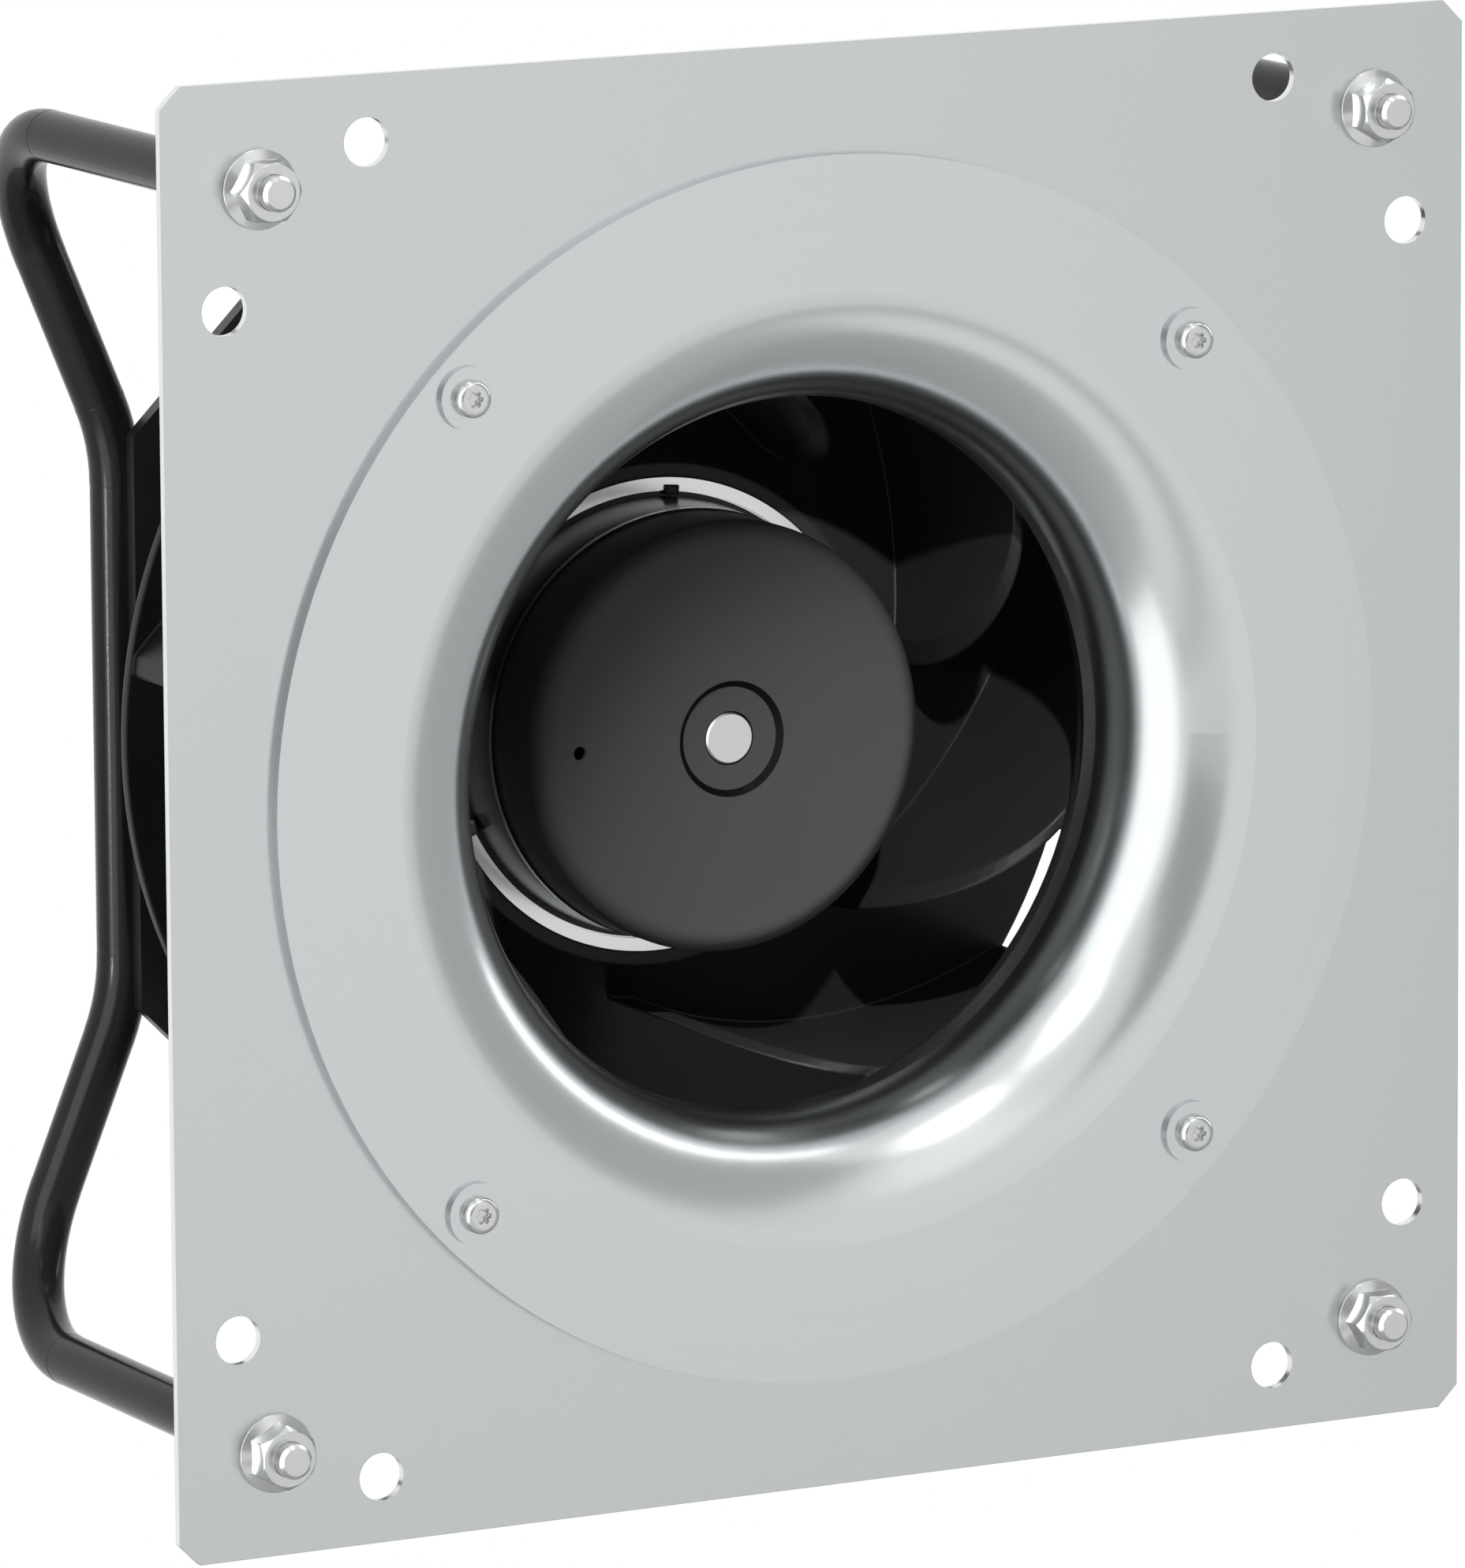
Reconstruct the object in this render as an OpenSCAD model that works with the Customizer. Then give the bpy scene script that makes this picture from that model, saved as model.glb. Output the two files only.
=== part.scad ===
// Plug fan: a backward-curved impeller on an external-rotor motor, carried behind a
// square front plate by two bent wire brackets.
// Frame: origin at the centre of the front plate's front face, on the fan axis.
// +Y runs back into the fan, +Z is up. Depths are distances behind that face.

/* [Front plate] */
// Width and height of the square front plate
plate_w = 330; // [316:1:360]
// Thickness of the front plate
plate_t = 2; // [1.5:0.5:4]
// Leg of the corner chamfers
plate_chamfer = 5; // [2:1:12]
// Diameter of the mounting holes
mount_hole_d = 11; // [7:0.5:13]
// Distance of the mounting holes from the edge they lie beside
mount_inset = 15; // [12:0.5:18]
// Distance of the mounting holes from the other edge
mount_inset_far = 50; // [42:1:58]
// Distance of the bracket studs from both edges
stud_inset = 23.6; // [22:0.1:26]

/* [Inlet ring] */
// Outer diameter of the inlet ring
ring_d = 280; // [277:1:290]
// Thickness of the ring's flat flange
ring_t = 2.5; // [2:0.5:4]
// Inner diameter of the nozzle throat
throat_d = 164.5; // [160:0.5:165.5]
// Radius of the rounded nozzle entry
entry_r = 27; // [22:0.5:28]
// Wall thickness of the drawn nozzle
nozzle_wall = 1.5; // [1:0.1:1.8]
// Depth of the nozzle's rear edge
nozzle_depth = 30; // [28:0.5:32]
// Pitch circle of the four ring screws
ring_screw_pcd = 260; // [256:1:262]
// Diameter of the raised screw pads
pad_d = 14.4; // [12:0.2:16]
// Height of the raised screw pads
pad_h = 1.4; // [0.6:0.2:2]

/* [Fasteners] */
// Thread diameter of the ring screws
ring_screw_d = 5; // [4:0.5:6]
// Head diameter of the ring screws
ring_head_d = 8.4; // [8:0.2:10]
// Head height of the ring screws
ring_head_h = 2.6; // [2:0.2:4]
// Height of the clinch nuts behind the front plate
clinch_h = 4.5; // [3:0.5:8]
// Thread diameter of the bracket studs
stud_d = 8; // [6:1:9]
// Length of the studs in front of the plate
stud_out = 11.5; // [10:0.5:16]
// Width across flats of the stud nuts
nut_af = 13; // [12:1:15]
// Flange diameter of the stud nuts
nut_flange_d = 17.9; // [17.5:0.1:20]
// Height of the stud nuts
nut_h = 8; // [6:0.5:9]
// Thread diameter of the motor plate screws
motor_screw_d = 6; // [4:1:6]
// Pitch circle of the motor plate screws
motor_screw_pcd = 120; // [118:1:122]

/* [Wire brackets] */
// Diameter of the bracket wire
wire_d = 12; // [10:0.5:13]
// Depth of the rear run of the wire's centre line
wire_depth = 143; // [138:0.5:160]
// Height between the two inner corners of the rear run
wire_mid_h = 130.6; // [120:0.2:150]
// Centre-line radius of the bends from leg to rear run
leg_bend_r = 35; // [24:0.5:42]
// Centre-line radius of the bends in the rear run
mid_bend_r = 50; // [30:1:70]

/* [Motor plate] */
// Width and height of the octagonal motor plate
motor_plate_w = 220; // [200:1:240]
// Leg of its corner cuts
motor_plate_cut = 43; // [30:1:50]
// Thickness of the motor plate
motor_plate_t = 4; // [3:0.5:6]
// Leg of the weld beads at the wires
weld_leg = 4; // [3:0.5:5]
// Length of each weld bead
weld_len = 36; // [20:1:50]

/* [Impeller] */
// Outer diameter of the impeller
impeller_d = 249; // [240:1:256]
// Number of blades
blade_count = 7; // [5:1:9]
// Thickness of the blades
blade_t = 2.4; // [1.8:0.1:3]
// Radius of the blades' arc
blade_arc_r = 126; // [120:1:132]
// Distance of the blade arc's centre from the fan axis
blade_arc_off = 67.8; // [64:0.2:72]
// Angle of the first blade arc's centre, seen from the front
blade_phase = 144.8; // [0:0.2:360]
// Diameter of the leading edge at the hub
blade_root_d = 134.8; // [130:0.2:140]
// Width of the flat band round the rotor flange
hub_band = 3.3; // [2:0.1:5]
// Thickness of the lip behind the rotor flange
hub_lip_t = 2.5; // [2:0.1:3]
// Depth of the disc's rim behind the hub band
rim_drop = 22.7; // [18:0.1:24]
// Radius of the back disc's curve
disc_curve_r = 105; // [95:1:130]
// Thickness of the back disc
disc_t = 2.5; // [2:0.1:3.5]
// Inner diameter of the shroud's collar
collar_d = 170; // [169.5:0.1:172]
// Length of the straight collar
collar_len = 8.3; // [6:0.1:12]
// Axial overlap of collar and nozzle
collar_overlap = 2; // [1:0.2:4]
// Inner radius of the bend from collar to cone
shroud_bend_r = 6; // [4:0.5:8]
// Slope of the shroud's cone
shroud_slope = 13; // [6:1:18]
// Wall thickness of the shroud
shroud_t = 2.2; // [1.6:0.1:3]

/* [Rotor] */
// Depth of the rotor's front face
rotor_face = 48; // [47:0.5:50]
// Outer diameter of the rotor cap
rotor_d = 100; // [97:0.5:100.5]
// Wall thickness of the rotor cap
cap_wall = 1.2; // [1:0.1:1.6]
// Corner radius of the rotor cap
cap_corner_r = 5; // [3:0.5:6]
// Length of the rotor cap
cap_len = 22; // [18:0.5:26]
// Diameter of the recess round the shaft
recess_d = 26.8; // [22:0.2:30]
// Depth of the recess
recess_h = 1.1; // [0.8:0.1:1.6]
// Width of the sloping wall round the recess
recess_slope_w = 1.4; // [0.8:0.1:2]
// Distance of the small cap hole from the axis
cap_hole_r = 39; // [30:0.5:42]
// Diameter of the small cap hole
cap_hole_d = 3.2; // [2:0.1:5]
// Wall thickness of the steel rotor bell
bell_wall = 3; // [2.5:0.1:3.4]
// Depth of the rotor flange behind the rotor face
flange_drop = 37.9; // [36:0.1:40]
// Diameter of the rotor flange
flange_d = 110.8; // [109:0.2:113]
// Thickness of the rotor flange
flange_t = 2; // [1.5:0.1:2.5]
// Number of impeller lugs in the flange slots
lug_count = 3; // [1:1:5]
// Angle of the first lug, seen from the front
lug_phase = 85; // [0:1:120]
// Number of rotor magnets
magnet_count = 10; // [6:2:14]
// Thickness of the rotor magnets
magnet_t = 2.7; // [2:0.1:3]

/* [Motor] */
// Shaft diameter
shaft_d = 12; // [10:0.5:12.5]
// Outer diameter of the ball bearings
bearing_od = 28; // [26:1:30]
// Width of the ball bearings
bearing_w = 8; // [7:0.5:9]
// Balls in each bearing
ball_count = 8; // [6:1:8]
// Wall of the bearing tube
tube_wall = 3.5; // [3:0.5:5]
// Air gap between stator core and magnets
air_gap = 0.7; // [0.5:0.1:1.2]
// Stack length of the stator core
core_len = 22; // [18:0.5:22]
// Number of stator teeth
tooth_count = 12; // [9:3:12]
// Width of a stator tooth
tooth_w = 7; // [5:0.5:7]
// Thickness of the winding round a tooth
coil_t = 2.4; // [1.5:0.1:2.4]
// Outer diameter of the carrier pot
pot_d = 112; // [110:0.5:113]
// Wall of the carrier pot
pot_wall = 4; // [3:0.5:5]
// Diameter of the carrier's mounting flange
carrier_flange_d = 134; // [134:1:140]
// Thickness of the carrier's mounting flange
carrier_flange_t = 8; // [6:0.5:10]
// Gap between impeller hub and carrier
carrier_gap = 2.6; // [2:0.1:3]
// Diameter of the circuit board
board_d = 92; // [84:1:93]
// Height of the circuit board's posts
board_post_h = 15; // [12:0.5:16]
// Diameter of the cover in the motor plate's opening
cover_d = 99; // [96:0.5:99]
// Height of the cooling fins
fin_h = 12; // [6:0.5:18]
// Thickness of the cooling fins
fin_t = 2.5; // [1.5:0.1:3.5]
// Spacing of the cooling fins
fin_pitch = 9; // [7:0.5:12]
// Thread diameter of the cable gland
gland_d = 12; // [10:1:13]

/* [Hidden] */
$fn = 96;

// Clearance between pieces that are pressed or set together
seat_gap = 0.05;
// Radial clearance of a screw or stud in its hole
hole_gap = 0.3;
// Length by which cutters pass the faces they cut
over = 1;
// Extra radius of the wire where it is bent
bend_swell = 0.05;
// Length by which a bend reaches into the straight runs beside it
bend_reach = 0.5;

// Fastener places
mount_near = plate_w / 2 - mount_inset;
mount_far = plate_w / 2 - mount_inset_far;
stud_xz = plate_w / 2 - stud_inset;
ring_screw_xz = ring_screw_pcd / 2 * cos(45);
pad_top = ring_t + pad_h;
clinch_shank_r = ring_screw_d / 2 + 1.2;

// Nozzle
throat_r = throat_d / 2;
entry_centre_r = throat_r + entry_r;
entry_centre_y = entry_r - ring_t;
opening_gap = 3.75;
plate_opening_r = entry_centre_r + opening_gap;

// Motor plate and wires
motor_plate_back = wire_depth - wire_d / 2 - bend_swell;
motor_plate_front = motor_plate_back - motor_plate_t;
wire_mid_x = motor_plate_w / 2;
wire_mid_z = wire_mid_h / 2;
diag_dx = stud_xz - wire_mid_x;
diag_dz = stud_xz - wire_mid_z;
diag_angle = atan2(diag_dx, diag_dz);
diag_len = norm([diag_dx, diag_dz]);
mid_tangent = mid_bend_r * tan(diag_angle / 2);

// Rotor
rotor_r = rotor_d / 2;
cap_end = rotor_face + cap_len;
cap_floor = rotor_face + recess_h;
bell_step = 4.7;
bell_front = rotor_face + bell_step;
bell_fit_r = rotor_r - cap_wall - seat_gap;
bell_in_r = bell_fit_r - bell_wall;
bell_ring_r = rotor_r + 0.4;
bell_ring_w = 1.5;
bell_side_r = rotor_r + 1;
bell_fillet = 1.4;
groove_w = 1.4;
groove_h = 0.8;
flange_y = rotor_face + flange_drop;
flange_back = flange_y + flange_t;
flange_r = flange_d / 2;
shaft_r = shaft_d / 2;
shaft_front = cap_floor - 0.2;
boss_r = shaft_r + 5;
boss_len = 4.8;
boss_back = bell_front + bell_wall + boss_len;
seat_collar_h = 1.5;

// Impeller: hub, disc and shroud in radius and depth
impeller_r = impeller_d / 2;
hub_in_r = flange_r + seat_gap;
hub_out_r = hub_in_r + hub_band;
hub_lip_r = bell_in_r + 3.8;
hub_back = flange_back + hub_lip_t;
hub_corner = [hub_out_r, flange_y];
rim_corner = [impeller_r, flange_y + rim_drop];
disc_dir = (rim_corner - hub_corner) / norm(rim_corner - hub_corner);
disc_off = sqrt(pow(disc_curve_r, 2) - pow(norm(rim_corner - hub_corner) / 2, 2));
disc_centre = (hub_corner + rim_corner) / 2 + disc_off * [disc_dir.y, -disc_dir.x];
lug_w = 3.3;
lug_r = [bell_side_r + 0.4, bell_side_r + 2.6];
lug_proud = 0.8;
collar_r = collar_d / 2;
collar_front = nozzle_depth - collar_overlap;
bend_y = collar_front + collar_len;
bend_centre = [collar_r + shroud_bend_r, bend_y];
bend_end = bend_centre + shroud_bend_r * [-sin(shroud_slope), cos(shroud_slope)];
cone_dir = [cos(shroud_slope), sin(shroud_slope)];
wall_dir = [sin(shroud_slope), -cos(shroud_slope)];
cone_tuck = 0.05;
cone_lap = 0.6;
shroud_rim_y = bend_end.y + (impeller_r - bend_end.x) * tan(shroud_slope);
blade_tip_r = impeller_r - 0.9;
edge_centre = [collar_r + 0.4, flange_y + 2.7];
edge_a = edge_centre.x - blade_root_d / 2;
edge_b = edge_centre.y - bend_y - shroud_bend_r / 2;
edge_steps = 18;

// Bearings, tube and carrier
bearing_r = bearing_od / 2;
ball_pitch_r = (shaft_r + bearing_r) / 2;
ball_r = 2;
ball_gap = 0.35;
race_half = 1.4;
bearing_1_y = boss_back + seat_collar_h;
carrier_front = hub_back + carrier_gap;
carrier_wall = 4;
bearing_2_end = carrier_front + carrier_wall;
bearing_2_y = bearing_2_end - bearing_w;
washer_h = 2;
washer_y = bearing_2_y - washer_h;
tube_r = bearing_r + tube_wall;
tube_front = bearing_1_y - 1;
shoulder_r = bearing_r - 1.5;
clip_t = 1.2;
clip_groove = 0.5;
shaft_back = bearing_2_end + clip_t + 2.5;
pot_r = pot_d / 2;
pot_in_r = pot_r - pot_wall;
cover_flange_t = 2.5;
gasket_t = 1.5;
cover_flange_y = motor_plate_front - cover_flange_t;
gasket_y = cover_flange_y - gasket_t;
ledge_t = 2.5;
ledge_w = 5;
cover_r = cover_d / 2;
gland_boss_r = gland_d / 2 + 3;
gland_y = motor_plate_front - carrier_flange_t - gland_boss_r - 1;
gland_seat = pot_r + 2;

// Stator
magnet_in_r = bell_in_r - magnet_t;
core_r = magnet_in_r - air_gap;
core_y = bearing_1_y + 0.7;
yoke_w = 6.5;
yoke_r = tube_r + yoke_w;
shoe_t = 4.3;
slot_opening = 2.6;
coil_over = 2.5;
coil_in_r = yoke_r + 1;
coil_out_r = core_r - shoe_t - 1;

// Circuit board
board_t = 1.6;
board_y = bearing_2_end + board_post_h;
board_post_r = 3;
board_post_off = board_d / 2 - 6;
board_screw_d = 3;
board_screw_head = [5.6, 2.2];
board_screw_in = 6;
board_hole_in = 8;
capacitor_r = 6.5;
choke_r = [4, 8];
switch_size = [6, 14];

// Colours
zinc = [0.78, 0.80, 0.80];
bright = [0.85, 0.86, 0.86];
coated = [0.17, 0.17, 0.17];
moulded = [0.09, 0.09, 0.10];
rotor_grey = [0.22, 0.23, 0.23];
cast_grey = [0.62, 0.64, 0.65];
copper = [0.72, 0.42, 0.22];
board_green = [0.10, 0.35, 0.20];

// Turns a shape drawn along +Z so that it runs back along the fan axis
module along_axis(depth = 0) {
    translate([0, depth, 0]) rotate([-90, 0, 0]) children();
}

// Revolves a section drawn as radius and depth round the fan axis
module revolved(turn = 360) {
    along_axis() rotate_extrude(angle = turn) children();
}

// Places children at the four corners of a rectangle in the plate
module corners(half_x, half_z) {
    for (sx = [-1, 1], sz = [-1, 1]) translate([sx * half_x, 0, sz * half_z]) children();
}

// Places children round the fan axis, angles counted as seen from the front
module around(count, radius, phase = 0) {
    for (i = [0 : count - 1]) rotate([0, -phase - i * 360 / count, 0]) translate([radius, 0, 0]) children();
}

// A rod along the fan axis from one depth to another
module rod(r, from, to) {
    along_axis(from) cylinder(r = r, h = to - from);
}

// Square outline with its corners cut at 45 degrees
module cut_square(side, cut) {
    half = side / 2;
    near = half - cut;
    polygon([[near, half], [-near, half], [-half, near], [-half, -near],
        [-near, -half], [near, -half], [half, -near], [half, near]]);
}

// Rectangle in radius and depth
module band(r0, r1, y0, y1) {
    translate([r0, y0]) square([r1 - r0, y1 - y0]);
}

// Flat sheet drawn in the plate's plane
module sheet(front, thick) {
    along_axis(front) linear_extrude(thick) children();
}

module front_plate() color(zinc) difference() {
    sheet(0, plate_t) cut_square(plate_w, plate_chamfer);
    rod(plate_opening_r, -over, plate_t + over);
    corners(mount_far, mount_near) rod(mount_hole_d / 2, -over, plate_t + over);
    corners(mount_near, mount_far) rod(mount_hole_d / 2, -over, plate_t + over);
    corners(stud_xz, stud_xz) rod(stud_d / 2 + hole_gap, -over, plate_t + over);
    corners(ring_screw_xz, ring_screw_xz) rod(clinch_shank_r + seat_gap, -over, plate_t + over);
}

module nozzle_section() {
    band(entry_centre_r, ring_d / 2, -ring_t, 0);
    intersection() {
        translate([entry_centre_r, entry_centre_y]) difference() {
            circle(entry_r);
            circle(entry_r - nozzle_wall);
        }
        band(throat_r - over, entry_centre_r, -ring_t - over, entry_centre_y);
    }
    band(throat_r, throat_r + nozzle_wall, entry_centre_y, nozzle_depth);
}

module inlet_ring() color(zinc) difference() {
    union() {
        revolved() nozzle_section();
        corners(ring_screw_xz, ring_screw_xz) rod(pad_d / 2, -pad_top, -ring_t / 2);
    }
    corners(ring_screw_xz, ring_screw_xz) rod(ring_screw_d / 2 + hole_gap, -pad_top - over, over);
}

// Six-lobe drive socket outline
module lobe_socket(size) {
    circle(size * 0.36);
    for (i = [0 : 5]) rotate(i * 60) translate([size * 0.36, 0]) circle(size * 0.14);
}

module ring_screw() {
    head_top = -pad_top - ring_head_h;
    socket = ring_head_d * 0.46;
    edge = ring_head_h * 0.52;
    head_r = ring_head_d / 2;
    tip = plate_t + clinch_h + 1;
    difference() {
        revolved() {
            band(0, head_r - edge, head_top, -pad_top);
            band(0, head_r, head_top + edge, -pad_top);
            intersection() {
                translate([head_r - edge, head_top + edge]) circle(edge);
                band(0, head_r, head_top, head_top + edge);
            }
            band(0, ring_screw_d / 2, -pad_top - ring_head_h / 2, tip);
        }
        sheet(head_top - over, over + ring_head_h * 0.6) lobe_socket(socket);
    }
}

module inlet_ring_screws() color(bright) corners(ring_screw_xz, ring_screw_xz) ring_screw();

module clinch_nuts() color(bright) corners(ring_screw_xz, ring_screw_xz) difference() {
    union() {
        rod(clinch_shank_r, seat_gap, plate_t);
        rod(clinch_shank_r + 1.5, plate_t, plate_t + clinch_h);
    }
    rod(ring_screw_d / 2 + seat_gap, -over, plate_t + clinch_h + over);
}

// Hex nut with a conical flange, seated on the plate and pointing forwards
module flange_nut() {
    flange_h = 1.2;
    cone_h = 2.2;
    nut_chamfer = 1.6;
    hex_r = nut_af / 2 / cos(30);
    difference() {
        union() {
            revolved() polygon([[0, 0], [nut_flange_d / 2, 0], [nut_flange_d / 2, -flange_h],
                [nut_af / 2, -cone_h], [0, -cone_h]]);
            intersection() {
                along_axis(-nut_h) cylinder(r = hex_r, h = nut_h - flange_h, $fn = 6);
                revolved() polygon([[0, 0], [hex_r, 0], [hex_r, -nut_h + nut_chamfer],
                    [nut_af / 2 - 0.2, -nut_h], [0, -nut_h]]);
            }
        }
        rod(stud_d / 2 + seat_gap, -nut_h - over, over);
    }
}

module flange_nuts() color(bright) for (sx = [-1, 1], sz = [-1, 1])
    translate([sx * stud_xz, 0, sz * stud_xz]) rotate([0, sx == sz ? 30 : 0, 0]) flange_nut();

// A bend of the wire about the local Z axis, starting on the local X axis
module wire_bend(radius, turn) {
    reach = bend_reach / radius * 180 / PI;
    rotate([0, 0, -reach]) rotate_extrude(angle = turn + 2 * reach)
        translate([radius, 0]) circle(wire_d / 2 + bend_swell);
}

// Quarter of a bracket: stud, leg, bend, slanted run, bend and half of the middle run.
// The slanted run is drawn straight down and then swung out by its slope.
module wire_quarter() {
    wire_r = wire_d / 2;
    chamfer = 0.8;
    translate([stud_xz, 0, stud_xz]) rotate([0, diag_angle, 0]) {
        revolved() polygon([[0, -stud_out], [stud_d / 2 - chamfer, -stud_out],
            [stud_d / 2, -stud_out + chamfer], [stud_d / 2, plate_t], [0, plate_t]]);
        rod(wire_r, plate_t, wire_depth - leg_bend_r);
        translate([0, wire_depth - leg_bend_r, -leg_bend_r])
            rotate([0, 90, 0]) rotate([0, 0, 90]) wire_bend(leg_bend_r, 90);
        translate([0, wire_depth, -diag_len + mid_tangent])
            cylinder(r = wire_r, h = diag_len - mid_tangent - leg_bend_r);
    }
    translate([wire_mid_x, wire_depth, wire_mid_z - mid_tangent]) {
        translate([mid_bend_r, 0, 0])
            rotate([90, 0, 0]) rotate([0, 0, 180 - diag_angle]) wire_bend(mid_bend_r, diag_angle);
        translate([0, 0, -wire_mid_z + mid_tangent]) cylinder(r = wire_r, h = wire_mid_z - mid_tangent);
    }
}

module bracket_wire() {
    wire_quarter();
    mirror([0, 0, 1]) wire_quarter();
}

module bracket_wire_left() color(coated) mirror([1, 0, 0]) bracket_wire();

module bracket_wire_right() color(coated) bracket_wire();

module motor_plate() color(coated) difference() {
    sheet(motor_plate_front, motor_plate_t) cut_square(motor_plate_w, motor_plate_cut);
    rod(cover_r + hole_gap, motor_plate_front - over, motor_plate_back + over);
    around(4, motor_screw_pcd / 2, 45)
        rod(motor_screw_d / 2 + hole_gap, motor_plate_front - over, motor_plate_back + over);
}

// Bead in the corner between a wire's middle run and the back of the motor plate
module weld_bead() {
    toe = wire_mid_x - wire_d / 2;
    translate([0, 0, -weld_len / 2]) linear_extrude(weld_len) difference() {
        polygon([[toe - weld_leg / 2, motor_plate_back], [wire_mid_x - weld_leg / 2, motor_plate_back],
            [toe + weld_leg / 4, motor_plate_back + weld_leg]]);
        translate([wire_mid_x, wire_depth]) circle(wire_d / 2 + bend_swell);
    }
}

module weld_beads() color(coated) for (side = [0, 1], sz = [-1, 1])
    mirror([side, 0, 0]) translate([0, 0, sz * wire_mid_z / 2]) weld_bead();

module motor_plate_screws() color(bright) around(4, motor_screw_pcd / 2, 45) difference() {
    union() {
        rod(motor_screw_d / 2, motor_plate_front - carrier_flange_t + 0.5, motor_plate_back);
        rod(motor_screw_d * 0.83, motor_plate_back, motor_plate_back + motor_screw_d);
    }
    along_axis(motor_plate_back + motor_screw_d / 2) cylinder(r = motor_screw_d * 0.48, h = motor_screw_d, $fn = 6);
}

module carrier_section() {
    band(shoulder_r, tube_r, tube_front, carrier_front + carrier_wall);
    band(shoulder_r, pot_r, carrier_front, carrier_front + carrier_wall);
    band(pot_in_r, pot_r, carrier_front, motor_plate_front);
    band(pot_in_r - ledge_w, pot_r, gasket_y - ledge_t, gasket_y);
    band(pot_in_r, carrier_flange_d / 2, motor_plate_front - carrier_flange_t, motor_plate_front);
}

module stator_carrier() color(cast_grey) difference() {
    union() {
        revolved() carrier_section();
        around(3, board_post_off, 30) rod(board_post_r, bearing_2_end - over, board_y);
        difference() {
            translate([0, gland_y, -gland_seat]) cylinder(r = gland_boss_r, h = gland_seat - pot_in_r + over);
            rod(pot_in_r + pot_wall / 2, carrier_front, motor_plate_front);
        }
    }
    rod(bearing_r + seat_gap, tube_front - over, bearing_1_y + bearing_w);
    rod(bearing_r + seat_gap, washer_y, bearing_2_end + over);
    around(4, motor_screw_pcd / 2, 45)
        rod(motor_screw_d / 2 + seat_gap, motor_plate_front - carrier_flange_t - over, motor_plate_front + over);
    around(3, board_post_off, 30) rod(board_screw_d / 2 + seat_gap, board_y - board_hole_in, board_y + over);
    translate([0, gland_y, -gland_seat - over])
        cylinder(r = gland_d / 2 + seat_gap, h = gland_seat - pot_in_r + ledge_w + over);
}

// One stator tooth with its rounded shoe
module tooth_outline() {
    shoe_half = 180 / tooth_count - asin(slot_opening / 2 / core_r);
    translate([tube_r + yoke_w / 2, -tooth_w / 2]) square([core_r - tube_r - yoke_w / 2 - shoe_t / 2, tooth_w]);
    intersection() {
        difference() {
            circle(core_r);
            circle(core_r - shoe_t);
        }
        polygon([[0, 0], [core_r * 1.2, -core_r * 1.2 * tan(shoe_half)], [core_r * 1.2, core_r * 1.2 * tan(shoe_half)]]);
    }
}

module stator_core() color(cast_grey) sheet(core_y, core_len) {
    difference() {
        circle(yoke_r);
        circle(tube_r + seat_gap);
    }
    for (i = [0 : tooth_count - 1]) rotate(i * 360 / tooth_count) tooth_outline();
}

// Winding round one tooth, in the slots and over both faces of the core
module coil() {
    inner_w = tooth_w + 4 * seat_gap;
    outer_w = tooth_w + 2 * coil_t;
    difference() {
        translate([coil_in_r, core_y - coil_over, -outer_w / 2])
            cube([coil_out_r - coil_in_r, core_len + 2 * coil_over, outer_w]);
        translate([coil_in_r - over, core_y - 2 * seat_gap, -inner_w / 2])
            cube([coil_out_r - coil_in_r + 2 * over, core_len + 4 * seat_gap, inner_w]);
    }
}

module stator_windings() color(copper) around(tooth_count, 0) coil();

// Section of one bearing ring, with its ball groove cut out
module race_section(r0, r1, front) {
    difference() {
        band(r0, r1, front, front + bearing_w);
        translate([ball_pitch_r, front + bearing_w / 2]) circle(ball_r + ball_gap);
    }
}

module bearing_outer_rings() color(bright) for (y = [bearing_1_y, bearing_2_y])
    revolved() race_section(ball_pitch_r + race_half, bearing_r, y);

module bearing_inner_rings() color(bright) for (y = [bearing_1_y, bearing_2_y])
    revolved() race_section(shaft_r + seat_gap, ball_pitch_r - race_half, y);

module bearing_balls() color(bright) for (y = [bearing_1_y, bearing_2_y])
    around(ball_count, ball_pitch_r) translate([0, y + bearing_w / 2, 0]) sphere(ball_r);

// Cone spring that loads the bearings against each other
module preload_washer() color(bright) revolved() {
    rim = 0.6;
    polygon([[shoulder_r + 0.2, washer_y + washer_h - rim], [shoulder_r + 0.2, washer_y + washer_h],
        [bearing_r - 0.2, washer_y + rim], [bearing_r - 0.2, washer_y]]);
}

module circuit_board() color(board_green) difference() {
    rod(board_d / 2, board_y, board_y + board_t);
    rod(shaft_r + 6, board_y - over, board_y + board_t + over);
    around(3, board_post_off, 30) rod(board_screw_d / 2 + hole_gap, board_y - over, board_y + board_t + over);
}

// Capacitors, a choke and the power switches on the board
module board_components() {
    top = board_y + board_t;
    room = gasket_y - ledge_t - top;
    color(moulded) around(3, board_d * 0.27, 60) rod(capacitor_r, top, top + room * 0.9);
    color(copper) around(1, board_d * 0.3, 0) difference() {
        rod(choke_r[1], top, top + room * 0.6);
        rod(choke_r[0], top - over, top + room);
    }
    color(moulded) around(2, board_d * 0.34, 205)
        translate([-switch_size.x / 2, top, -switch_size.y / 2]) cube([switch_size.x, room * 0.4, switch_size.y]);
}

module board_screws() color(bright) around(3, board_post_off, 30) {
    rod(board_screw_d / 2, board_y - board_screw_in, board_y + board_t);
    rod(board_screw_head.x / 2, board_y + board_t, board_y + board_t + board_screw_head.y);
}

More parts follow.
